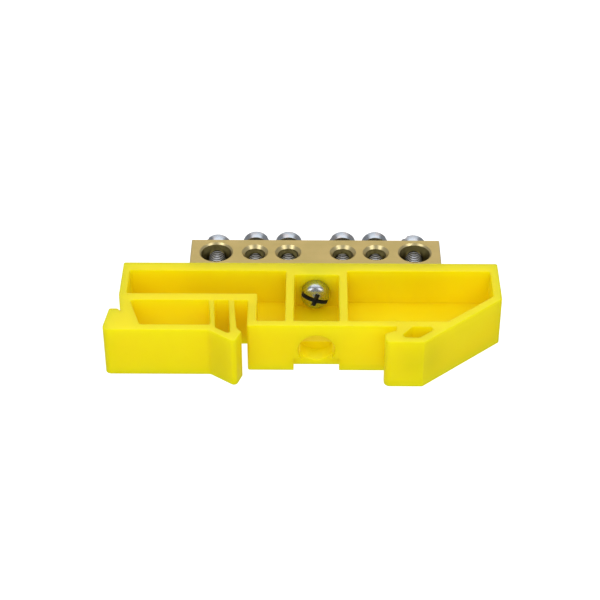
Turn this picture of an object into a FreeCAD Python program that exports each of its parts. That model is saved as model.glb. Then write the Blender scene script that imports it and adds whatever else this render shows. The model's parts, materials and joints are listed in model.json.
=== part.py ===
import FreeCAD, Part
import math
import os
import re
import Sketcher

# A neutral terminal bar on a moulded holder for 35 mm top-hat rail, in millimetres.
# X runs along the bar, Y from the rail towards the bar, and Z along the rail. The origin is in the
# middle of the rail seat, on the side face that the part lies on.

SIZES = [
    # The rail and the two places that grip it.
    ("rail_width", 35.0, "width of the top-hat rail over its flanges"),
    ("rail_play", 0.1, "play at each edge of the rail"),
    ("slot_height", 1.3, "height of the slot for the rail's flange"),
    ("lip_reach", 2.6, "how far the fixed hook reaches under the rail"),
    ("lip_mouth", 2.6, "opening of the slot at the hook's tip"),
    ("lip_wall", 3.0, "thickness of the hook at its tip"),
    ("hook_width", 5.9, "width of the hook outside the rail"),
    ("nose_reach", 1.1, "how far the sprung nose reaches under the rail"),
    ("nose_root", 0.6, "where the nose's ledge starts, past the seat"),
    ("nose_slope", 1.45, "how much deeper the ledge ends"),
    ("nose_heel", 0.25, "where the nose's slant starts, outside the rail"),
    ("nose_depth", 5.85, "depth of that corner past the seat, before it is rounded"),
    ("nose_run", 5.85, "length of the slant along the seat"),
    ("nose_wall", 1.7, "thickness of the wall along the slant"),
    # The holder's outline, floor and walls.
    ("floor_height", 3.5, "thickness of the compartments' floor"),
    ("seat_to_bar", 24.0, "from the rail seat to the face that carries the bar"),
    ("holder_left", 44.7, "left side, from the middle"),
    ("holder_right", 41.8, "right side, from the middle"),
    ("back_wall", 3.2, "wall that carries the bar"),
    ("box_back", 4.7, "the same wall behind the fixing screw"),
    ("seat_wall", 1.95, "wall of the rail seat"),
    ("left_wall", 1.7, "wall at the left side"),
    ("right_wall", 1.9, "wall at the right side"),
    ("slant_wall", 2.0, "wall along the slanted side"),
    ("slant_end", 10.4, "where the slanted side meets the right side, above the seat"),
    ("box_width", 10.2, "inside width of the screw box"),
    ("box_wall", 1.9, "walls at the sides of the screw box"),
    ("foot_gap", 2.2, "from the rail's left edge to the seat block"),
    ("leg_wall", 2.0, "wall from the seat block up to the beam"),
    ("beam_low", 9.45, "underside of the beam that carries the foot, above the seat"),
    ("beam_wall", 2.6, "thickness of that beam"),
    ("hollow_web", 0.6, "web between the rail slot and the hollow in the hook"),
    ("hollow_lean", 3.0, "how far that web leans"),
    ("hollow_wall", 1.8, "wall under the hollow in the hook"),
    # The sprung foot with its link, finger tab and two leaf ribs.
    ("link_root", 2.6, "width of the link at the beam"),
    ("link_start", 2.05, "where the link leaves the left side, above the beam's underside"),
    ("link_taper", 0.8, "how far the link's outer side leans in"),
    ("link_lean", 3.0, "how far the link's inner side leans in"),
    ("tab_height", 6.3, "end of the finger tab above the seat"),
    ("tab_width", 1.9, "width of the tab at its end"),
    ("tab_flare", 0.8, "how much wider the tab is at the foot"),
    ("tab_notch", 0.6, "width of the notch between tab and link"),
    ("notch_drop", 0.7, "depth of that notch"),
    ("foot_proud", 1.6, "how far the foot stands past the seat"),
    ("foot_wall", 2.1, "thickness of the foot"),
    ("rib_wall", 1.15, "thickness of the leaf ribs"),
    ("rib_offset", 1.6, "middle of the inner rib at the beam, outside the rail"),
    ("rib_pitch", 4.45, "distance between the two ribs"),
    ("rib_lean", 0.75, "how far the ribs lean towards the rail"),
    # Roundings and draft of the moulding.
    ("corner_round", 0.5, "rounding of upright corners"),
    ("room_round", 0.8, "rounding in the wide corners of openings"),
    ("nose_round", 0.9, "rounding of the nose"),
    ("foot_round", 1.3, "rounding of the foot's outer corner"),
    ("hook_round", 1.4, "rounding of the hook's end"),
    ("bend_round", 1.5, "rounding where the nose's slant leaves the foot"),
    ("rim_round", 0.2, "rounding along the upper rims"),
    ("draft", 1.0, "draft of the compartments' walls, in degrees"),
    # The screwdriver's way through the rail seat.
    ("driver_play", 2.0, "room round the screw's head in the hole, on the diameter"),
    ("driver_rise", 2.0, "axis of the hole above the floor"),
    ("driver_groove", 4.0, "length of its groove in the floor"),
    ("recess_roof", 0.3, "from the floor's face down to the recess in the seat"),
    ("recess_depth", 2.1, "depth of that recess"),
    # The brass bar.
    ("bar_thickness", 8.2, "thickness of the bar, along the wires"),
    ("bar_drop", 0.6, "how far the bar lies below the holder's rim"),
    ("bar_shift", 0.28, "how far the bar is screwed on to the left of the middle"),
    ("bar_edge", 0.15, "bevel along the bar's edges"),
    ("small_bore", 4.8, "diameter of the four small wire holes"),
    ("small_bevel", 0.7, "bevel at their mouths"),
    ("end_bore", 7.1, "diameter of the two end holes"),
    ("end_bevel", 0.4, "bevel at their mouths"),
    ("end_web", 2.05, "brass on both sides of an end hole's mouth, along the bar"),
    ("near_web", 1.15, "brass between an end hole's mouth and the holder"),
    ("far_web", 1.15, "brass between an end hole's mouth and the clamp screws' face"),
    ("fixing_web", 1.3, "brass between the fixing screw and the holes beside it"),
    # The screws.
    ("thread", 4.0, "outside diameter of the screws"),
    ("thread_play", 0.1, "play of a screw in its tapped hole, on the diameter"),
    ("fixing_play", 0.7, "play of the fixing screw in the holder, on the diameter"),
    ("fixing_length", 12.0, "length of the fixing screw under its head"),
    ("head_width", 6.4, "diameter of the heads"),
    ("head_height", 3.7, "height of the heads"),
    ("head_rim", 2.2, "straight part of a head's side"),
    ("head_gap", 1.35, "gap between neighbouring clamp screws' heads"),
    ("head_clear", 1.05, "gap between the fixing screw's head and the floor"),
    ("head_lift", 1.05, "gap under an end screw's head when the screw is closed"),
    ("tip_bevel", 0.8, "bevel at the screws' tips"),
    ("tip_play", 0.05, "gap between a closed clamp screw and the wire hole's wall"),
    ("slot_width", 1.0, "width of the slot and cross in the heads"),
    ("slot_depth", 1.7, "depth of the slot and cross"),
    ("cross_length", 4.6, "length of the cross arm"),
]

# How far each screw came to rest turned, in degrees.
FIXING_TURN = -19.0
CLAMP_TURNS = (35.0, -62.0, 8.0, 71.0, -24.0, 50.0)
# Points closer than this count as one.
NEAR = 0.01

# Lengths that several pieces share, worked out from the sizes above.
AXIS_HEIGHT = "(floor_height + head_clear + head_width / 2)"
BAR_BOTTOM = f"({AXIS_HEIGHT} - bar_thickness / 2)"
BAR_TOP = f"({AXIS_HEIGHT} + bar_thickness / 2)"
HOLDER_HEIGHT = f"({BAR_TOP} + bar_drop)"
RAIL_EDGE = "(rail_width / 2 + rail_play)"
BLOCK_LEFT = f"({RAIL_EDGE} - foot_gap)"
HOOK_DEPTH = "(lip_mouth + lip_wall)"
SLANT_START = f"({RAIL_EDGE} + hook_width)"
SLANT_RISE = f"(slant_end + {HOOK_DEPTH})"
SLANT_RUN = f"(holder_right - {SLANT_START})"
NOSE_END = f"({RAIL_EDGE} + nose_heel + nose_run)"
NOSE_SLOPE = "((nose_depth - foot_proud) / nose_run)"
SMALL_MOUTH = "(small_bore + 2 * small_bevel)"
END_MOUTH = "(end_bore + 2 * end_bevel)"
FIRST_HOLE = f"(({SMALL_MOUTH} + thread) / 2 + fixing_web)"
SECOND_HOLE = f"({FIRST_HOLE} + head_width + head_gap)"
END_HOLE = f"({SECOND_HOLE} + ({SMALL_MOUTH} + {END_MOUTH}) / 2 + end_web)"
HALF_BAR = f"({END_HOLE} + {END_MOUTH} / 2 + end_web)"
WIRE_LINE = f"(seat_to_bar + near_web + {END_MOUTH} / 2)"
BAR_BACK = f"({WIRE_LINE} + {END_MOUTH} / 2 + far_web)"
TIP_RADIUS = "(thread / 2 - tip_bevel)"
# The wire holes from left to right: place along the bar, bore and bevel.
WIRE_HOLES = (
    (f"(-{END_HOLE} - bar_shift)", "end_bore", "end_bevel"),
    (f"(-{SECOND_HOLE} - bar_shift)", "small_bore", "small_bevel"),
    (f"(-{FIRST_HOLE} - bar_shift)", "small_bore", "small_bevel"),
    (f"({FIRST_HOLE} - bar_shift)", "small_bore", "small_bevel"),
    (f"({SECOND_HOLE} - bar_shift)", "small_bore", "small_bevel"),
    (f"({END_HOLE} - bar_shift)", "end_bore", "end_bevel"),
)

doc = FreeCAD.newDocument("terminal_bar")
sheet = doc.addObject("Spreadsheet::Sheet", "sizes")
aliases = {alias for alias, value, meaning in SIZES}


def fill_sheet():
    """Write each size in the sheet, between its alias and its meaning."""
    for row, (alias, value, meaning) in enumerate(SIZES, 1):
        sheet.set(f"A{row}", alias)
        sheet.set(f"B{row}", str(value))
        sheet.set(f"C{row}", meaning)
        sheet.setAlias(f"B{row}", alias)
    doc.recompute()


def cells(text):
    """Put the sheet's name before every size in an expression."""
    return re.sub("[a-z_]+", lambda word: ("sizes." if word[0] in aliases else "") + word[0], text)


def new_body(name):
    body = doc.addObject("PartDesign::Body", name)
    body.Label = name
    return body


def new_sketch(body, name, role, lift="0"):
    """A sketch on one of the body's own planes, lifted along that plane's normal."""
    sketch = body.newObject("Sketcher::SketchObject", name)
    plane = next(item for item in body.Origin.OriginFeatures if item.Role == role)
    sketch.AttachmentSupport = [(plane, "")]
    sketch.MapMode = "FlatFace"
    sketch.setExpression(".AttachmentOffset.Base.z", cells(lift))
    return sketch


def bind(sketch, dimensions):
    """Add dimensions to a sketch, each bound to the sheet: its kind, what it measures and its text."""
    indexes = sketch.addConstraint([Sketcher.Constraint(kind, *place, 1.0) for kind, place, text in dimensions])
    for index, (kind, place, text) in zip(indexes, dimensions):
        sketch.setExpression(f"Constraints[{index}]", cells(text))


def outline(sketch, corners, arcs=()):
    """Draw a closed outline through corners of x, y and the size that rounds the corner, if any.

    The sides named in arcs bulge round a centre on the sketch's upright axis. Returns each rounding
    with the sides that start at its corners.
    """
    first = sketch.GeometryCount
    count = len(corners)
    angles = [2 * math.pi * k / count for k in range(count + 1)]
    points = [FreeCAD.Vector(math.cos(angle), math.sin(angle), 0) for angle in angles]
    ring = Part.Circle(FreeCAD.Vector(0, 0, 0), FreeCAD.Vector(0, 0, 1), 1.0)
    sketch.addGeometry([
        Part.ArcOfCircle(ring, angles[k], angles[k + 1]) if k in arcs
        else Part.LineSegment(points[k], points[k + 1])
        for k in range(count)], False)
    sketch.addConstraint([Sketcher.Constraint("Coincident", first + k, 2, first + (k + 1) % count, 1)
                          for k in range(count)])
    dimensions = [("DistanceX", (first + k, 3), "0") for k in arcs]
    rounded = {}
    for k, (x, y, rounding) in enumerate(corners):
        dimensions.append(("DistanceX", (first + k, 1), x))
        dimensions.append(("DistanceY", (first + k, 1), y))
        if rounding:
            rounded.setdefault(rounding, []).append(first + k)
    bind(sketch, dimensions)
    return rounded


def circles(sketch, places):
    """Draw circles, each given by its centre's x and y and its diameter."""
    upright = FreeCAD.Vector(0, 0, 1)
    for x, y, diameter in places:
        index = sketch.addGeometry(Part.Circle(FreeCAD.Vector(0, 0, 0), upright, 1.0), False)
        bind(sketch, [
            ("DistanceX", (index, 3), x),
            ("DistanceY", (index, 3), y),
            ("Diameter", (index,), diameter),
        ])


def pad(body, name, sketch, length):
    feature = body.newObject("PartDesign::Pad", name)
    feature.Profile = sketch
    feature.setExpression("Length", cells(length))
    doc.recompute()


def pocket(body, name, sketch, length, towards_normal=False, taper="0"):
    """Cut a sketch into the body, and make sure that it removes something."""
    before = body.Shape.Volume
    feature = body.newObject("PartDesign::Pocket", name)
    feature.Profile = sketch
    feature.Reversed = towards_normal
    feature.setExpression("Length", cells(length))
    feature.setExpression("TaperAngle", cells(taper))
    doc.recompute()
    if body.Shape.Volume > before - NEAR:
        raise RuntimeError(f"{name} removes nothing")


def dress(body, kind, name, edges, size, text):
    """Put a fillet or chamfer on named edges or faces of the body."""
    base = body.Tip
    feature = body.newObject("PartDesign::" + kind, name)
    feature.Base = (base, edges)
    feature.setExpression(size, cells(text))
    doc.recompute()


def edges_below(shape, places, top):
    """Names of the edges that lead down from the given places at the height of the rim."""
    names = []
    for number, edge in enumerate(shape.Edges, 1):
        ends = sorted((vertex.Point for vertex in edge.Vertexes), key=lambda point: -point.z)
        if len(ends) < 2 or abs(ends[0].z - top) > NEAR or ends[0].z - ends[1].z < NEAR:
            continue
        if any(math.hypot(ends[0].x - place.x, ends[0].y - place.y) < NEAR for place in places):
            names.append(f"Edge{number}")
    return names


def round_corners(body, name, sketch, rounded, top):
    """Round the upright edges on the marked corners of a sketch."""
    for rounding, sides in rounded.items():
        places = [sketch.Geometry[side].StartPoint for side in sides]
        edges = edges_below(body.Shape, places, top)
        dress(body, "Fillet", f"{name}_{rounding}", edges, "Radius", rounding)


def faces_up(shape, height):
    """Names of the flat faces that look up from the given height."""
    return [f"Face{number}" for number, face in enumerate(shape.Faces, 1)
            if isinstance(face.Surface, Part.Plane)
            and face.normalAt(0, 0).z > 1 - NEAR
            and abs(face.CenterOfMass.z - height) < NEAR]


def join(*groups):
    """Bring the marked corners of several outlines in one sketch together."""
    together = {}
    for group in groups:
        for rounding, sides in group.items():
            together.setdefault(rounding, []).extend(sides)
    return together


def slant_inside(y):
    """Distance from the middle to the inner face of the slanted wall, at the height y."""
    shift = f"slant_wall * sqrt({SLANT_RISE} ^ 2 + {SLANT_RUN} ^ 2) / {SLANT_RISE}"
    return f"({SLANT_START} - {shift} + ({y} + {HOOK_DEPTH}) * {SLANT_RUN} / {SLANT_RISE})"


def nose_inside(x):
    """Height of the inner face of the nose's slanted wall, at the distance x from the middle."""
    return f"(nose_wall * sqrt({NOSE_SLOPE} ^ 2 + 1) - foot_proud - ({NOSE_END} - {x}) * {NOSE_SLOPE})"


def make_holder():
    """The moulded holder: compartments, screw box, fixed hook and sprung foot in one piece."""
    body = new_body("rail_holder")
    tab_inside = "(holder_left - link_taper + tab_notch)"
    plan = new_sketch(body, "plan", "XY_Plane")
    rounded = outline(plan, [
        ("-holder_left", "seat_to_bar", "corner_round"),
        ("-holder_left", "beam_low + link_start", "room_round"),
        ("-holder_left + link_taper", "tab_height - notch_drop", ""),
        (f"-{tab_inside}", "tab_height", "corner_round"),
        (f"-{tab_inside} - tab_width", "tab_height", "corner_round"),
        (f"-{tab_inside} - tab_width - tab_flare", "0", ""),
        (f"-{tab_inside} - tab_width - tab_flare", "-foot_proud", "foot_round"),
        (f"-{NOSE_END}", "-foot_proud", "bend_round"),
        (f"-{RAIL_EDGE} - nose_heel", "-nose_depth", "nose_round"),
        (f"-{RAIL_EDGE} + nose_reach", "-nose_root - nose_slope", ""),
        (f"-{RAIL_EDGE}", "-nose_root", ""),
        (f"-{RAIL_EDGE} - rib_offset + rib_wall / 2", "beam_low", "corner_round"),
        (f"-{BLOCK_LEFT}", "beam_low", "corner_round"),
        (f"-{BLOCK_LEFT}", "0", "corner_round"),
        (RAIL_EDGE, "0", ""),
        (RAIL_EDGE, "-slot_height", ""),
        (f"{RAIL_EDGE} - lip_reach", "-lip_mouth", "corner_round"),
        (f"{RAIL_EDGE} - lip_reach", f"-{HOOK_DEPTH}", "hook_round"),
        (SLANT_START, f"-{HOOK_DEPTH}", "corner_round"),
        ("holder_right", "slant_end", "corner_round"),
        ("holder_right", "seat_to_bar", "corner_round"),
    ])
    pad(body, "plate", plan, HOLDER_HEIGHT)
    top = body.Shape.BoundBox.ZMax
    round_corners(body, "outside", plan, rounded, top)

    inner_rib = f"({RAIL_EDGE} + rib_offset + rib_wall / 2)"
    outer_rib = f"({RAIL_EDGE} + rib_offset + rib_pitch)"
    behind_outer = f"({outer_rib} - rib_wall / 2 - rib_lean)"
    before_inner = f"({inner_rib} - rib_lean)"
    foot = new_sketch(body, "foot_openings", "XY_Plane", HOLDER_HEIGHT)
    wide = outline(foot, [
        ("-holder_left + link_root", "beam_low", "room_round"),
        ("-holder_left + link_root + link_lean", "foot_wall - foot_proud", "room_round"),
        (f"-{outer_rib} - rib_wall / 2 + rib_lean", "foot_wall - foot_proud", "corner_round"),
        (f"-{outer_rib} - rib_wall / 2", "beam_low", "corner_round"),
    ])
    narrow = outline(foot, [
        (f"-{outer_rib} + rib_wall / 2", "beam_low", "corner_round"),
        (f"-{behind_outer}", nose_inside(behind_outer), "corner_round"),
        (f"-{before_inner}", nose_inside(before_inner), "corner_round"),
        (f"-{inner_rib}", "beam_low", "corner_round"),
    ])
    pocket(body, "foot_cut", foot, HOLDER_HEIGHT)
    round_corners(body, "foot", foot, join(wide, narrow), top)

    room_back = "seat_to_bar - back_wall"
    beside_box = "(box_width / 2 + box_wall)"
    right_inside = "(holder_right - right_wall)"
    rooms = new_sketch(body, "compartments", "XY_Plane", HOLDER_HEIGHT)
    left = outline(rooms, [
        ("-holder_left + left_wall", "beam_low + beam_wall", "corner_round"),
        (f"-{BLOCK_LEFT} + leg_wall", "beam_low + beam_wall", "corner_round"),
        (f"-{BLOCK_LEFT} + leg_wall", "seat_wall", "corner_round"),
        (f"-{beside_box}", "seat_wall", "corner_round"),
        (f"-{beside_box}", room_back, "corner_round"),
        ("-holder_left + left_wall", room_back, "corner_round"),
    ])
    slope_back = f"({right_inside} - {slant_inside('seat_wall')}) * {SLANT_RISE} / {SLANT_RUN}"
    right = outline(rooms, [
        (beside_box, "seat_wall", "corner_round"),
        (slant_inside("seat_wall"), "seat_wall", "room_round"),
        (right_inside, f"seat_wall + {slope_back}", "room_round"),
        (right_inside, room_back, "corner_round"),
        (beside_box, room_back, "corner_round"),
    ])
    hollow_low = f"(hollow_wall - {HOOK_DEPTH})"
    hollow = outline(rooms, [
        (f"{RAIL_EDGE} + hollow_web", hollow_low, "room_round"),
        (slant_inside(hollow_low), hollow_low, "room_round"),
        (slant_inside("0"), "0", "room_round"),
        (f"{RAIL_EDGE} + hollow_web + hollow_lean", "0", "room_round"),
    ])
    pocket(body, "compartment_cut", rooms, f"{HOLDER_HEIGHT} - floor_height", taper="-draft")
    round_corners(body, "compartment", rooms, join(left, right, hollow), top)

    box = new_sketch(body, "screw_box", "XY_Plane", HOLDER_HEIGHT)
    rounded = outline(box, [
        ("-box_width / 2", "seat_wall", "corner_round"),
        ("box_width / 2", "seat_wall", "corner_round"),
        ("box_width / 2", "seat_to_bar - box_back", "corner_round"),
        ("-box_width / 2", "seat_to_bar - box_back", "corner_round"),
    ])
    pocket(body, "box_cut", box, f"{HOLDER_HEIGHT} - floor_height")
    round_corners(body, "box", box, rounded, top)

    driver = new_sketch(body, "driver_hole", "XZ_Plane")
    circles(driver, [("0", "floor_height + driver_rise", "head_width + driver_play")])
    pocket(body, "driver_cut", driver, "seat_wall + driver_groove")

    recess = new_sketch(body, "seat_recess", "XZ_Plane")
    outline(recess, [
        ("-box_width / 2", "0", ""),
        ("box_width / 2", "0", ""),
        ("box_width / 2", "floor_height - recess_roof", ""),
        ("-box_width / 2", "floor_height - recess_roof", ""),
    ])
    pocket(body, "recess_cut", recess, "recess_depth")

    screw = new_sketch(body, "screw_hole", "XZ_Plane", "box_back - seat_to_bar")
    circles(screw, [("0", AXIS_HEIGHT, "thread + fixing_play")])
    pocket(body, "screw_cut", screw, "box_back")

    dress(body, "Fillet", "rims", faces_up(body.Shape, top), "Radius", "min(rim_round; 0.4 * rib_wall)")
    return body


def make_bar():
    """The brass bar, with wire holes along Z and tapped holes along Y."""
    body = new_body("terminal_bar")
    plan = new_sketch(body, "bar_plan", "XY_Plane", BAR_BOTTOM)
    outline(plan, [
        (f"-{HALF_BAR} - bar_shift", "seat_to_bar", ""),
        (f"{HALF_BAR} - bar_shift", "seat_to_bar", ""),
        (f"{HALF_BAR} - bar_shift", BAR_BACK, ""),
        (f"-{HALF_BAR} - bar_shift", BAR_BACK, ""),
    ])
    pad(body, "bar_block", plan, "bar_thickness")
    every_edge = [f"Edge{number}" for number in range(1, len(body.Shape.Edges) + 1)]
    dress(body, "Chamfer", "bar_edges", every_edge, "Size", "bar_edge")

    for kind in ("small", "end"):
        top = body.Shape.BoundBox.ZMax
        bottom = body.Shape.BoundBox.ZMin
        wires = new_sketch(body, f"{kind}_holes", "XY_Plane", BAR_TOP)
        circles(wires, [(place, WIRE_LINE, bore) for place, bore, bevel in WIRE_HOLES
                        if bore == f"{kind}_bore"])
        pocket(body, f"{kind}_cut", wires, "bar_thickness")
        mouths = [f"Edge{number}" for number, edge in enumerate(body.Shape.Edges, 1)
                  if isinstance(edge.Curve, Part.Circle)
                  and abs(2 * edge.Curve.Radius - sheet.get(f"{kind}_bore")) < NEAR
                  and min(abs(edge.CenterOfMass.z - top), abs(edge.CenterOfMass.z - bottom)) < NEAR]
        dress(body, "Chamfer", f"{kind}_mouths", mouths, "Size", f"{kind}_bevel")

    clamps = new_sketch(body, "clamp_holes", "XZ_Plane", f"-{BAR_BACK}")
    circles(clamps, [(place, AXIS_HEIGHT, "thread + thread_play") for place, bore, bevel in WIRE_HOLES])
    pocket(body, "clamp_cut", clamps, f"{BAR_BACK} - {WIRE_LINE}", towards_normal=True)

    fixing = new_sketch(body, "fixing_hole", "XZ_Plane", "-seat_to_bar")
    circles(fixing, [("-bar_shift", AXIS_HEIGHT, "thread + thread_play")])
    pocket(body, "fixing_cut", fixing, f"{BAR_BACK} - seat_to_bar")
    return body


def make_screw(name, length, turn, tilt, x, y):
    """A pan-head screw with slot and cross, made upright with its head's underside at the height 0.

    It is then turned on its own axis and tilted, so that the head looks towards the bar's one side.
    """
    body = new_body(name)
    half = new_sketch(body, f"{name}_half", "XZ_Plane")
    outline(half, [
        ("0", f"-{length}", ""),
        (TIP_RADIUS, f"-{length}", ""),
        ("thread / 2", f"-{length} + tip_bevel", ""),
        ("thread / 2", "0", ""),
        ("head_width / 2", "0", ""),
        ("head_width / 2", "head_rim", ""),
        ("0", "head_height", ""),
    ], arcs=(5,))
    turned = body.newObject("PartDesign::Revolution", f"{name}_turned")
    turned.Profile = half
    turned.ReferenceAxis = (half, ["V_Axis"])
    turned.Angle = 360.0
    doc.recompute()

    for part, width, depth in (("slot", "head_width", "slot_width"), ("cross", "slot_width", "cross_length")):
        recess = new_sketch(body, f"{name}_{part}", "XY_Plane", "head_height")
        outline(recess, [
            (f"-{width} / 2", f"-{depth} / 2", ""),
            (f"{width} / 2", f"-{depth} / 2", ""),
            (f"{width} / 2", f"{depth} / 2", ""),
            (f"-{width} / 2", f"{depth} / 2", ""),
        ])
        pocket(body, f"{name}_{part}_cut", recess, "slot_depth")

    own_turn = FreeCAD.Rotation(FreeCAD.Vector(0, 0, 1), turn)
    lay_down = FreeCAD.Rotation(FreeCAD.Vector(1, 0, 0), tilt)
    body.Placement = FreeCAD.Placement(FreeCAD.Vector(0, 0, 0), lay_down * own_turn)
    body.setExpression(".Placement.Base.x", cells(x))
    body.setExpression(".Placement.Base.y", cells(y))
    body.setExpression(".Placement.Base.z", cells(AXIS_HEIGHT))
    doc.recompute()
    return body


def closed_tip(bore):
    """Where a closed clamp screw's tip stands: its end or its shoulder meets the bore's near wall first."""
    end = f"sqrt(({bore} / 2) ^ 2 - {TIP_RADIUS} ^ 2)"
    shoulder = f"sqrt(max(0; ({bore} / 2) ^ 2 - (thread / 2) ^ 2)) + min(tip_bevel; {bore} / 2 - {TIP_RADIUS})"
    return f"({WIRE_LINE} + tip_play - min({end}; {shoulder}))"


def check_objects():
    """Stop if any object of the document failed."""
    for item in doc.Objects:
        if "Invalid" in item.State or "Error" in item.State:
            raise RuntimeError(f"{item.Label} failed: {item.State}")


fill_sheet()
CLAMP_LENGTH = f"({BAR_BACK} - {closed_tip('end_bore')} + head_lift)"
pieces = [make_holder(), make_bar()]
pieces.append(make_screw("fixing_screw", "fixing_length", FIXING_TURN, 90.0, "-bar_shift", "seat_to_bar - box_back"))
for number, ((place, bore, bevel), turn) in enumerate(zip(WIRE_HOLES, CLAMP_TURNS), 1):
    under_head = f"{closed_tip(bore)} + {CLAMP_LENGTH}"
    pieces.append(make_screw(f"clamp_screw_{number}", CLAMP_LENGTH, turn, -90.0, place, under_head))

check_objects()
for piece in pieces:
    if piece.Shape.isNull() or not piece.Shape.isValid() or len(piece.Shape.Solids) != 1:
        raise RuntimeError(f"{piece.Label} is not one valid solid")
os.makedirs("parts", exist_ok=True)
for piece in pieces:
    piece.Shape.exportStep(os.path.join("parts", piece.Label + ".step"))
    print(f"{piece.Label}: {piece.Shape.Volume:.1f} mm3")
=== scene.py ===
import math
import json

import bpy
from bpy.props import FloatProperty, FloatVectorProperty, IntProperty, PointerProperty
from mathutils import Matrix, Vector


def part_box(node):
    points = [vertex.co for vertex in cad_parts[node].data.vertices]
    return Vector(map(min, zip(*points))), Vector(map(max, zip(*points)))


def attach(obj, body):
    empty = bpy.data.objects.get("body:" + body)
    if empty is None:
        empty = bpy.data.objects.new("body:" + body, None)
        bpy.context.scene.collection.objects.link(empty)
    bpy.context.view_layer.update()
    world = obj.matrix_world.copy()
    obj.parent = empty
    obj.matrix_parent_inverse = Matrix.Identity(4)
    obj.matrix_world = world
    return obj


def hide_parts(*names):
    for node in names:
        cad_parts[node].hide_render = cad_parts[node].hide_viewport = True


bl_info = {
    "name": "Neutral Terminal Bar Looks",
    "version": (1, 0, 0),
    "blender": (4, 5, 0),
    "location": "View3D > Sidebar > Terminal Bar",
    "description": "Finishes the moulded holder, the brass bar and its screws, and sets the stage",
    "category": "Object",
}

MM = 0.001
# Edges shorter than this are slivers that a cut leaves.
SLIVER = 0.002 * MM
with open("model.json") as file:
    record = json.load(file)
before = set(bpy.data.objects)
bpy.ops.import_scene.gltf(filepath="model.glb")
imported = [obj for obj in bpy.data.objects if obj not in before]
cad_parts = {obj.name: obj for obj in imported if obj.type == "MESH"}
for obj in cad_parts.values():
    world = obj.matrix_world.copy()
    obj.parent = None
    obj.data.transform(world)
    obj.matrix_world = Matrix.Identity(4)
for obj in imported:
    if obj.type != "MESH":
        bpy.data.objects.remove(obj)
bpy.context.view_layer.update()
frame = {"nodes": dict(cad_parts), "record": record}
CLAMP_SCREWS = sorted(name for name in frame["nodes"] if name.startswith("clamp_screw"))
BODY_OF = {node: body for body, nodes in frame["record"]["behaviour"]["bodies"].items() for node in nodes}
# How far each screw came to rest turned, in degrees.
CLAMP_TURNS = (35.0, -22.0, 8.0, 27.0, -24.0, 50.0)
FIXING_TURN = -19.0
# Name, place in metres, size in metres and power in watts of each light. The fills light the recesses
# and the lower faces softly, and only the softboxes show in the metals.
LIGHTS = (
    ("top_softbox", (0.0, 0.35, 0.8), 1.0, 2.6),
    ("back_softbox", (0.0, 0.9, 0.5), 1.0, 2.05),
    ("left_softbox", (-0.42, -0.42, 0.55), 0.35, 1.0),
    ("right_softbox", (0.42, -0.42, 0.55), 0.35, 1.0),
    ("front_fill", (0.0, -0.5, 0.42), 0.4, 1.35),
    ("table_fill", (0.0, -0.45, -0.4), 1.0, 2.0),
)


class ScrewSizes(bpy.types.PropertyGroup):
    """Sizes of the pan-head screws."""
    thread: FloatProperty(
        name="Thread", description="Outside diameter of the thread",
        default=4.0 * MM, unit="LENGTH")
    pitch: FloatProperty(
        name="Pitch", description="Distance from one turn of the thread to the next",
        default=0.7 * MM, unit="LENGTH")
    thread_depth: FloatProperty(
        name="Thread Depth", description="Depth of the thread's groove",
        default=0.4 * MM, unit="LENGTH")
    tip_bevel: FloatProperty(
        name="Tip Bevel", description="Bevel at the end of the thread",
        default=0.8 * MM, unit="LENGTH")
    head_width: FloatProperty(
        name="Head Width", description="Diameter of the head",
        default=6.4 * MM, unit="LENGTH")
    head_height: FloatProperty(
        name="Head Height", description="Height of the head's crown",
        default=3.7 * MM, unit="LENGTH")
    head_rim: FloatProperty(
        name="Head Rim", description="Straight part of the head's side",
        default=2.2 * MM, unit="LENGTH")
    shoulder: FloatProperty(
        name="Shoulder", description="How full the head's shoulder is: 2 is an ellipse, more is squarer",
        default=2.05, min=1.5, max=6.0)
    slot_width: FloatProperty(
        name="Slot Width", description="Width of the slot across the head",
        default=1.15 * MM, unit="LENGTH")
    slot_depth: FloatProperty(
        name="Slot Depth", description="Depth of the slot and cross",
        default=1.7 * MM, unit="LENGTH")
    cross_length: FloatProperty(
        name="Cross Length", description="Length of the recess across the slot",
        default=4.6 * MM, unit="LENGTH")
    facets: IntProperty(
        name="Facets", description="Steps round the thread and the head",
        default=40, min=12, max=96)


class FinishColours(bpy.types.PropertyGroup):
    """Colours of the plastic, the brass and the plating."""
    plastic: FloatVectorProperty(
        name="Plastic", description="Yellow of the moulding where it is thick",
        default=(0.993, 0.715, 0.004), subtype="COLOR", min=0.0, max=1.0)
    plastic_pale: FloatVectorProperty(
        name="Pale Plastic", description="Yellow where the moulding flowed thin",
        default=(0.993, 0.74, 0.006), subtype="COLOR", min=0.0, max=1.0)
    brass: FloatVectorProperty(
        name="Brass", description="Dull brass of the drawn faces",
        default=(0.445, 0.345, 0.132), subtype="COLOR", min=0.0, max=1.0)
    brass_stain: FloatVectorProperty(
        name="Brass Stain", description="Warmer patches on the drawn faces",
        default=(0.495, 0.375, 0.15), subtype="COLOR", min=0.0, max=1.0)
    cut_brass: FloatVectorProperty(
        name="Cut Brass", description="Bright brass on the bevels of the holes",
        default=(0.76, 0.64, 0.33), subtype="COLOR", min=0.0, max=1.0)
    # This colour is painted shade: the brass inside the holes, darkened where shade falls.
    bore_shade: FloatVectorProperty(
        name="Bore Shade", description="Tarnished brass inside the holes",
        default=(0.40, 0.33, 0.12), subtype="COLOR", min=0.0, max=1.0)
    zinc: FloatVectorProperty(
        name="Zinc", description="Bluish zinc plating",
        default=(0.45, 0.49, 0.55), subtype="COLOR", min=0.0, max=1.0)
    # This colour is painted shade for the slots and the roots of the thread.
    recess_shade: FloatVectorProperty(
        name="Recess Shade", description="Dark oil in the slots and between the threads",
        default=(0.035, 0.034, 0.026), subtype="COLOR", min=0.0, max=1.0)


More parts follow.
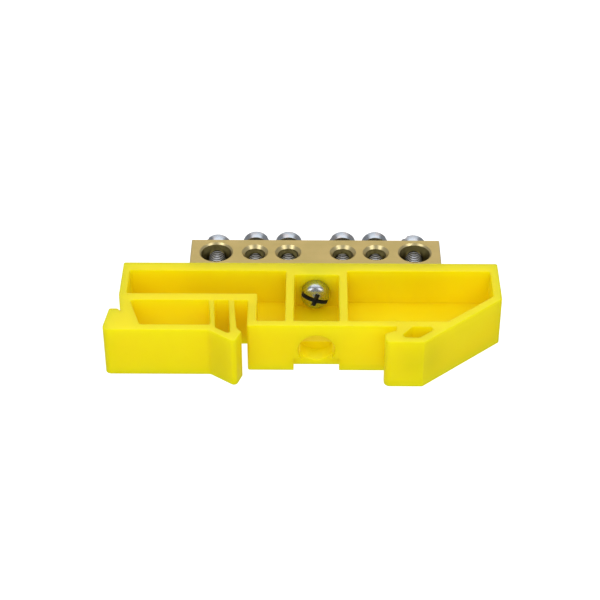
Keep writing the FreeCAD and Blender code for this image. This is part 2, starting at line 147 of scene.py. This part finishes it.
class StageSettings(bpy.types.PropertyGroup):
    """Camera and light."""
    focal_length: FloatProperty(
        name="Focal Length", description="Focal length in millimetres on a 36 mm sensor",
        default=102.0, min=10.0, max=400.0)
    elevation: FloatProperty(
        name="Elevation", description="How steeply the camera looks down",
        default=math.radians(36.74), subtype="ANGLE")
    yaw: FloatProperty(
        name="Yaw", description="How far the camera looks aside",
        default=math.radians(-0.53), subtype="ANGLE")
    roll: FloatProperty(
        name="Roll", description="How far the camera is turned on its axis",
        default=math.radians(-0.06), subtype="ANGLE")
    place: FloatVectorProperty(
        name="Place", description="Where the camera stands",
        default=(-0.9 * MM, -296.7 * MM, 241.1 * MM), subtype="TRANSLATION", unit="LENGTH")
    room_light: FloatProperty(
        name="Room Light", description="Strength of the light that comes from all sides",
        default=0.34, min=0.0, max=5.0)


class Wire:
    """A socket that Python can calculate with."""

    def __init__(self, shade, socket):
        self.shade = shade
        self.socket = socket

    def math(self, operation, *values):
        return self.shade.add("Math", {"operation": operation}, dict(enumerate(values)))

    def __add__(self, other):
        return self.math("ADD", self, other)

    def __sub__(self, other):
        return self.math("SUBTRACT", self, other)

    def __mul__(self, other):
        return self.math("MULTIPLY", self, other)

    def __rsub__(self, other):
        return self.math("SUBTRACT", other, self)

    __radd__ = __add__
    __rmul__ = __mul__


class Shade:
    """A material's nodes."""

    def __init__(self, name):
        self.material = bpy.data.materials.new(name)
        self.material.use_nodes = True
        self.tree = self.material.node_tree
        self.surface = self.tree.nodes["Principled BSDF"]
        self.place = self.add("TexCoord", {}, {}, "Object")

    def add(self, kind, settings, inputs, output=0):
        """Add one node: its settings are set first, then the values or links of its sockets."""
        node = self.tree.nodes.new("ShaderNode" + kind)
        stops = settings.pop("stops", None)
        for name, value in settings.items():
            setattr(node, name, value)
        if stops:
            ramp = node.color_ramp
            while len(ramp.elements) < len(stops):
                ramp.elements.new(0.5)
            for element, (position, colour) in zip(ramp.elements, stops):
                element.position = position
                element.color = colour
        self.fill(node, inputs)
        return Wire(self, node.outputs[output])

    def fill(self, node, inputs):
        for name, value in inputs.items():
            if isinstance(value, Wire):
                self.tree.links.new(value.socket, node.inputs[name])
            else:
                node.inputs[name].default_value = value

    def mix(self, factor, first, second):
        """Blend two colours: 0 gives the first and 1 the second."""
        colours = {"data_type": "RGBA", "clamp_factor": True}
        return self.add("Mix", colours, {0: factor, 6: first, 7: second}, 2)

    def noise(self, scale, detail=3.0, roughness=0.5, stretch=(1.0, 1.0, 1.0)):
        """Grey noise with its middle at 0.5. A stretch under 1 draws it out along that axis."""
        place = self.add("Mapping", {}, {"Vector": self.place, "Scale": stretch})
        return self.add("TexNoise", {}, {
            "Vector": place, "Scale": scale, "Detail": detail, "Roughness": roughness})

    def span(self, value, low, high, first=0.0, second=1.0):
        """Stretch the values between low and high to the range from first to second."""
        return self.add("MapRange", {"interpolation_type": "SMOOTHSTEP"}, {
            0: value, 1: low, 2: high, 3: first, 4: second})

    def bump(self, height, distance):
        return self.add("Bump", {}, {"Height": height, "Distance": distance})

    def finish(self, **sockets):
        self.fill(self.surface, {name.replace("_", " "): value for name, value in sockets.items()})
        return self.material


def rgba(colour):
    return (*colour, 1.0)


def yellow_plastic(colours):
    """Yellow polyamide: satin, faintly mottled and a little translucent."""
    shade = Shade("yellow_plastic")
    cloud = shade.noise(60.0, 3.0, 0.5)
    grain = shade.noise(5200.0, 2.0, 0.6)
    peel = shade.noise(900.0, 3.0, 0.5)
    base = shade.mix(shade.span(cloud, 0.38, 0.66), rgba(colours.plastic), rgba(colours.plastic_pale))
    skin = shade.bump(peel + 0.35 * grain, 0.00002)
    return shade.finish(
        Base_Color=base,
        Roughness=0.4 + 0.12 * peel,
        Normal=skin,
        Subsurface_Weight=1.0,
        Subsurface_Radius=(1.0, 1.0, 0.08),
        Subsurface_Scale=0.007,
        IOR=1.5,
        Specular_IOR_Level=0.18,
    )


def brass(colours):
    """Drawn brass: dull, finely scratched along the bar and a little stained."""
    shade = Shade("bar_brass")
    streaks = shade.noise(700.0, 4.0, 0.65, (0.06, 1.0, 1.0))
    stain = shade.noise(160.0, 3.0, 0.6)
    base = shade.mix(shade.span(stain, 0.35, 0.7, 0.0, 0.8), rgba(colours.brass), rgba(colours.brass_stain))
    return shade.finish(
        Base_Color=base,
        Metallic=1.0,
        Roughness=0.4 + 0.14 * streaks,
        Normal=shade.bump(streaks, 0.00003),
    )


def drilled_brass(colours):
    """Brass in the holes: bright on the bevels, and dark inside with painted shade."""
    shade = Shade("drilled_brass")
    facing = shade.add("NewGeometry", {}, {}, "Normal")
    turned = shade.add("SeparateXYZ", {}, {"Vector": facing}, "Z")
    bevel = shade.span(turned.math("ABSOLUTE", turned), 0.3, 0.6)
    rings = shade.noise(2600.0, 2.0, 0.5, (0.15, 0.15, 1.0))
    # The walls of the holes get the bore colour, which is painted shade.
    base = shade.mix(bevel, rgba(colours.bore_shade), rgba(colours.cut_brass))
    return shade.finish(
        Base_Color=base,
        Metallic=1.0,
        Roughness=0.28 + 0.1 * rings,
        Normal=shade.bump(rings, 0.00001),
    )


def zinc_steel(colours):
    """Bright zinc plating with a faint play of colours."""
    shade = Shade("zinc_steel")
    cloud = shade.noise(620.0, 3.0, 0.6)
    fine = shade.noise(3000.0, 3.0, 0.6)
    tint = shade.add("ValToRGB", {"stops": [
        (0.0, (0.40, 0.48, 0.53, 1.0)),
        (0.5, rgba(colours.zinc)),
        (0.62, (0.50, 0.48, 0.49, 1.0)),
        (1.0, (0.44, 0.44, 0.56, 1.0)),
    ]}, {0: cloud}, "Color")
    return shade.finish(
        Base_Color=tint,
        Metallic=1.0,
        Roughness=0.22 + 0.12 * fine,
        Normal=shade.bump(cloud, 0.00001),
    )


def recess_shade_steel(colours):
    """Steel darkened as painted shade, for the slots and the roots of the thread."""
    shade = Shade("recess_shade_steel")
    # The noise only varies the painted shade a little.
    shade_variation = shade.noise(1500.0, 3.0, 0.6)
    base = shade.mix(shade.span(shade_variation, 0.55, 0.75), rgba(colours.recess_shade), (0.12, 0.12, 0.09, 1.0))
    return shade.finish(Base_Color=base, Metallic=0.4, Roughness=0.45 + 0.2 * shade_variation)


def rolled_steel(colours):
    """The zinc plating on the rolled threads, which is duller than on the heads."""
    shade = Shade("rolled_steel")
    wear = shade.noise(800.0, 3.0, 0.6)
    base = shade.mix(wear, (0.74, 0.76, 0.82, 1.0), (0.58, 0.59, 0.64, 1.0))
    return shade.finish(Base_Color=base, Metallic=0.6, Roughness=0.34 + 0.1 * wear)


def edit(work):
    """Run work on the active object in edit mode with everything selected."""
    bpy.ops.object.mode_set(mode="EDIT")
    bpy.ops.mesh.select_all(action="SELECT")
    work()
    bpy.ops.object.mode_set(mode="OBJECT")


def apply_modifier(piece, kind, name, **settings):
    """Add a modifier to a piece and apply it at once."""
    bpy.context.view_layer.objects.active = piece
    modifier = piece.modifiers.new(name, kind)
    for field, value in settings.items():
        setattr(modifier, field, value)
    bpy.ops.object.modifier_apply(modifier=name)


def combine(piece, other, operation):
    """Cut another piece out or keep what both share, with each face's own material. The other goes."""
    apply_modifier(piece, "BOOLEAN", "combined", object=other, operation=operation, solver="EXACT",
                   material_mode="TRANSFER")
    bpy.data.objects.remove(other, do_unlink=True)


def select_only(piece):
    bpy.ops.object.select_all(action="DESELECT")
    piece.select_set(True)
    bpy.context.view_layer.objects.active = piece


def add_disc(name, radius, height, facets):
    """A flat disc, filled, that looks up from the given height."""
    bpy.ops.object.select_all(action="DESELECT")
    bpy.ops.mesh.primitive_circle_add(
        vertices=facets, radius=radius, fill_type="NGON", location=(0.0, 0.0, height))
    disc = bpy.context.object
    disc.name = name
    bpy.ops.object.transform_apply(location=True)
    return disc


def raise_rings(rings):
    """Extrude the selected face through rings of height step and scale."""
    for step, scale in rings:
        bpy.ops.mesh.extrude_region_move(TRANSFORM_OT_translate={"value": (0.0, 0.0, step)})
        bpy.ops.transform.resize(value=(scale, scale, 1.0), center_override=(0.0, 0.0, 0.0))


def close_up():
    """Merge doubles and turn every face outwards."""
    bpy.ops.mesh.select_all(action="SELECT")
    bpy.ops.mesh.remove_doubles(threshold=1e-7)
    bpy.ops.mesh.normals_make_consistent(inside=False)


def drop_slivers():
    """Merge the tiny edges and faces that a cut leaves."""
    bpy.ops.mesh.remove_doubles(threshold=SLIVER)
    bpy.ops.mesh.dissolve_degenerate(threshold=SLIVER)


def screw_head(sizes, finish, painted_shade):
    """A pan head with slot and cross, whose underside lies at the height 0."""
    radius = sizes.head_width / 2
    underside = radius * 0.97
    rise = sizes.head_height - sizes.head_rim
    head = add_disc("screw_head", underside, 0.0, sizes.facets)
    # The straight side comes first, then the crown in steps that end just short of its middle.
    widths = [underside, radius, radius]
    heights = [0.0, 0.04 * MM, sizes.head_rim - 0.12 * MM]
    crown_steps = 10
    for k in range(1, crown_steps):
        width = math.cos(k * math.pi / 2 / (crown_steps - 0.8))
        widths.append(radius * width)
        heights.append(sizes.head_rim + rise * (1 - width ** sizes.shoulder) ** (1 / sizes.shoulder))
    rings = [(heights[k + 1] - heights[k], widths[k + 1] / widths[k]) for k in range(len(widths) - 1)]

    def shape():
        raise_rings(rings)
        close_up()

    edit(shape)
    paint(head, finish)
    # The slot runs past the head on both sides, and the cross narrows towards its floor.
    for width, depth, taper in (
            (sizes.head_width * 1.2, sizes.slot_width, 1.0),
            (sizes.slot_width * 0.95, sizes.cross_length, 0.55)):
        bpy.ops.object.select_all(action="DESELECT")
        bpy.ops.mesh.primitive_cube_add(size=1.0, location=(0.0, 0.0, sizes.head_height))
        cutter = bpy.context.object
        cutter.scale = (width, depth, 2 * sizes.slot_depth)
        bpy.ops.object.transform_apply(location=True, scale=True)
        floor = [v.index for v in cutter.data.vertices if v.co.z < sizes.head_height]
        bpy.ops.object.mode_set(mode="EDIT")
        bpy.ops.mesh.select_all(action="DESELECT")
        bpy.ops.object.mode_set(mode="OBJECT")
        for index in floor:
            cutter.data.vertices[index].select = True
        bpy.ops.object.mode_set(mode="EDIT")
        bpy.ops.transform.resize(value=(0.9, taper, 1.0))
        bpy.ops.object.mode_set(mode="OBJECT")
        # The cutters give the faces of the slot and the cross the painted shade.
        paint(cutter, painted_shade)
        combine(head, cutter, "DIFFERENCE")
    return head


def screw_shank(sizes, length, thread_finish, painted_shade):
    """A threaded shank with a bevelled tip, from just inside the head down."""
    major = sizes.thread / 2
    minor = major - sizes.thread_depth
    overlap = 0.3 * MM
    turns = math.ceil((length + overlap) / sizes.pitch) + 2
    # Radius and share of the pitch at each corner of one turn of the thread.
    groove = [(minor, 0.0), (minor, 0.1), (major, 0.28), (major, 0.72), (minor, 0.9), (minor, 1.0)]
    crest = major - sizes.thread_depth * 0.25

    bpy.ops.object.select_all(action="DESELECT")
    bpy.ops.mesh.primitive_plane_add(size=0.1 * MM, location=(minor, 0.0, -length - sizes.pitch))
    shank = bpy.context.object
    shank.name = "screw_shank"
    bpy.ops.object.transform_apply(location=True)

    def draw():
        bpy.ops.mesh.merge(type="CENTER")
        for (near, low), (far, high) in zip(groove, groove[1:]):
            step = (far - near, 0.0, (high - low) * sizes.pitch)
            bpy.ops.mesh.extrude_region_move(TRANSFORM_OT_translate={"value": step})

    def trim():
        close_up()
        for height, keep_above in ((-length, True), (overlap, False)):
            bpy.ops.mesh.select_all(action="SELECT")
            bpy.ops.mesh.bisect(
                plane_co=(0.0, 0.0, height), plane_no=(0.0, 0.0, 1.0), use_fill=True,
                clear_inner=keep_above, clear_outer=not keep_above, threshold=1e-7)
        close_up()

    edit(draw)
    apply_modifier(shank, "SCREW", "thread", screw_offset=sizes.pitch, iterations=turns,
                   steps=sizes.facets, render_steps=sizes.facets, use_merge_vertices=False)
    edit(trim)
    envelope = add_disc("screw_envelope", major - sizes.tip_bevel, -length, sizes.facets)

    def envelop():
        raise_rings([
            (sizes.tip_bevel, (major + 0.05 * MM) / (major - sizes.tip_bevel)),
            (length - sizes.tip_bevel + 2 * overlap, 1.0),
        ])
        close_up()

    edit(envelop)
    paint(shank, thread_finish)
    paint(envelope, thread_finish)
    combine(shank, envelope, "INTERSECT")
    edit(drop_slivers)
    # The roots of the thread get the painted shade, dark where shade falls between the turns.
    shank.data.materials.append(painted_shade)
    for face in shank.data.polygons:
        if face.center.xy.length < crest:
            face.material_index = len(shank.data.materials) - 1
    return shank


def model_screw(sizes, length, name, finish, thread_finish, painted_shade):
    """A whole screw on its own axis: head above, thread below the height 0."""
    head = screw_head(sizes, finish, painted_shade)
    apply_modifier(head, "BEVEL", "worn edges", width=0.06 * MM, segments=2, limit_method="ANGLE",
                   angle_limit=math.radians(50))
    shank = screw_shank(sizes, length, thread_finish, painted_shade)
    select_only(head)
    shank.select_set(True)
    bpy.ops.object.join()
    head.name = name
    bpy.ops.object.shade_smooth_by_angle(angle=math.radians(35))
    return head


def seat_screw(model, node, name, turn, head_points, under_head):
    """A copy of the model screw, turned on its axis and laid where the node is."""
    piece = model.copy()
    piece.data = model.data.copy()
    piece.name = name
    bpy.context.scene.collection.objects.link(piece)
    tilt = Matrix.Rotation(math.radians(90.0 * -head_points), 4, "X")
    low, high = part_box(node)
    middle = (low + high) / 2
    place = Matrix.Translation(Vector((middle.x, under_head, middle.z)))
    piece.matrix_world = place @ tilt @ Matrix.Rotation(math.radians(turn), 4, "Z")
    select_only(piece)
    bpy.ops.object.transform_apply(location=True, rotation=True, scale=True)
    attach(piece, BODY_OF[node])
    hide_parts(node)
    return piece


def paint(piece, material):
    piece.data.materials.clear()
    piece.data.materials.append(material)


class TERMINALBAR_OT_holder(bpy.types.Operator):
    """Give the moulded holder its yellow plastic"""
    bl_idname = "terminalbar.holder"
    bl_label = "Finish Holder"

    def execute(self, context):
        paint(frame["nodes"]["rail_holder"], yellow_plastic(context.scene.finish_colours))
        return {"FINISHED"}


class TERMINALBAR_OT_bar(bpy.types.Operator):
    """Give the bar its brass"""
    bl_idname = "terminalbar.bar"
    bl_label = "Finish Bar"

    def execute(self, context):
        colours = context.scene.finish_colours
        bar = frame["nodes"]["terminal_bar"]
        paint(bar, brass(colours))
        bar.data.materials.append(drilled_brass(colours))
        low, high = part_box("terminal_bar")
        # A face in a hole lies under the bar's skin, and looks aside or lies well inside.
        skin = 0.02 * MM
        well_inside = 0.3 * MM
        straight = 0.999
        for face in bar.data.polygons:
            centre = bar.matrix_world @ face.center
            margins = [min(value - least, most - value) for value, least, most in zip(centre, low, high)]
            axial = max(abs(part) for part in face.normal)
            if min(margins) > skin and (axial < straight or min(margins) > well_inside):
                face.material_index = 1
        return {"FINISHED"}


class TERMINALBAR_OT_screws(bpy.types.Operator):
    """Model the fixing screw and the clamp screws"""
    bl_idname = "terminalbar.screws"
    bl_label = "Model Screws"

    def execute(self, context):
        sizes = context.scene.screw_sizes
        colours = context.scene.finish_colours
        # The last finish is the painted shade for the slots and the roots of the thread.
        finishes = (zinc_steel(colours), rolled_steel(colours), recess_shade_steel(colours))
        for nodes, turns, head_points in (
                (CLAMP_SCREWS, CLAMP_TURNS, 1),
                (["fixing_screw"], (FIXING_TURN,), -1)):
            low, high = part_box(nodes[0])
            model = model_screw(sizes, high.y - low.y - sizes.head_height, "screw_model", *finishes)
            for node, turn in zip(nodes, turns):
                low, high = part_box(node)
                top = high.y if head_points == 1 else low.y
                seat_screw(model, node, f"threaded_{node}", turn, head_points,
                           top - head_points * sizes.head_height)
            bpy.data.objects.remove(model, do_unlink=True)
        return {"FINISHED"}


class TERMINALBAR_OT_stage(bpy.types.Operator):
    """Set the floor, the light and the camera"""
    bl_idname = "terminalbar.stage"
    bl_label = "Set Stage"

    def execute(self, context):
        settings = context.scene.stage_settings
        context.scene.view_settings.view_transform = "Standard"
        self.floor()
        self.lights(settings.room_light)
        self.camera(context, settings)
        return {"FINISHED"}

    def floor(self):
        bpy.ops.object.select_all(action="DESELECT")
        bpy.ops.mesh.primitive_plane_add(size=6.0, location=(0.0, 0.0, -0.01 * MM))
        floor = bpy.context.object
        floor.name = "light_table"
        shade = Shade("pale_floor")
        paint(floor, shade.finish(
            Base_Color=(0.25, 0.25, 0.25, 1.0),
            Roughness=0.9,
            Emission_Color=(1.0, 1.0, 1.0, 1.0),
            Emission_Strength=1.0,
        ))
        # The table looks white, and the fills light the part in its place.
        floor.visible_glossy = False
        floor.visible_diffuse = False
        floor.visible_shadow = False

    def lights(self, room_light):
        world = bpy.data.worlds.new("soft_room")
        bpy.context.scene.world = world
        world.use_nodes = True
        background = world.node_tree.nodes["Background"]
        background.inputs["Color"].default_value = (1.0, 1.0, 1.0, 1.0)
        background.inputs["Strength"].default_value = room_light
        for name, place, size, power in LIGHTS:
            bpy.ops.object.light_add(type="AREA", location=place)
            light = bpy.context.object
            light.name = name
            light.data.size = size
            light.data.energy = power
            light.visible_glossy = "softbox" in name
            light.rotation_mode = "QUATERNION"
            light.rotation_quaternion = (-Vector(place)).to_track_quat("-Z", "Y")

    def camera(self, context, settings):
        bpy.ops.object.camera_add(location=settings.place)
        camera = bpy.context.object
        camera.name = "photo_camera"
        camera.data.lens = settings.focal_length
        camera.data.sensor_width = 36.0
        camera.data.clip_start = 0.01
        level = math.cos(settings.elevation)
        ahead = Vector((math.sin(settings.yaw) * level, math.cos(settings.yaw) * level,
                        -math.sin(settings.elevation)))
        camera.rotation_mode = "QUATERNION"
        aim = ahead.to_track_quat("-Z", "Y").to_matrix().to_4x4()
        camera.rotation_quaternion = (aim @ Matrix.Rotation(settings.roll, 4, "Z")).to_quaternion()
        context.scene.camera = camera


class TERMINALBAR_PT_steps(bpy.types.Panel):
    """The steps that dress the terminal bar"""
    bl_idname = "TERMINALBAR_PT_steps"
    bl_label = "Terminal Bar"
    bl_space_type = "VIEW_3D"
    bl_region_type = "UI"
    bl_category = "Terminal Bar"

    def draw(self, context):
        for step in STEPS:
            self.layout.operator(step.bl_idname)
        for group in (context.scene.screw_sizes, context.scene.finish_colours, context.scene.stage_settings):
            for field in group.__annotations__:
                self.layout.prop(group, field)


STEPS = (TERMINALBAR_OT_holder, TERMINALBAR_OT_bar, TERMINALBAR_OT_screws, TERMINALBAR_OT_stage)
CLASSES = (ScrewSizes, FinishColours, StageSettings, *STEPS, TERMINALBAR_PT_steps)


def register():
    for item in CLASSES:
        bpy.utils.register_class(item)
    bpy.types.Scene.screw_sizes = PointerProperty(type=ScrewSizes)
    bpy.types.Scene.finish_colours = PointerProperty(type=FinishColours)
    bpy.types.Scene.stage_settings = PointerProperty(type=StageSettings)


def unregister():
    del bpy.types.Scene.screw_sizes
    del bpy.types.Scene.finish_colours
    del bpy.types.Scene.stage_settings
    for item in reversed(CLASSES):
        bpy.utils.unregister_class(item)


def main():
    register()
    bpy.ops.terminalbar.holder()
    bpy.ops.terminalbar.bar()
    bpy.ops.terminalbar.screws()
    bpy.ops.terminalbar.stage()


if __name__ == "__main__":
    main()
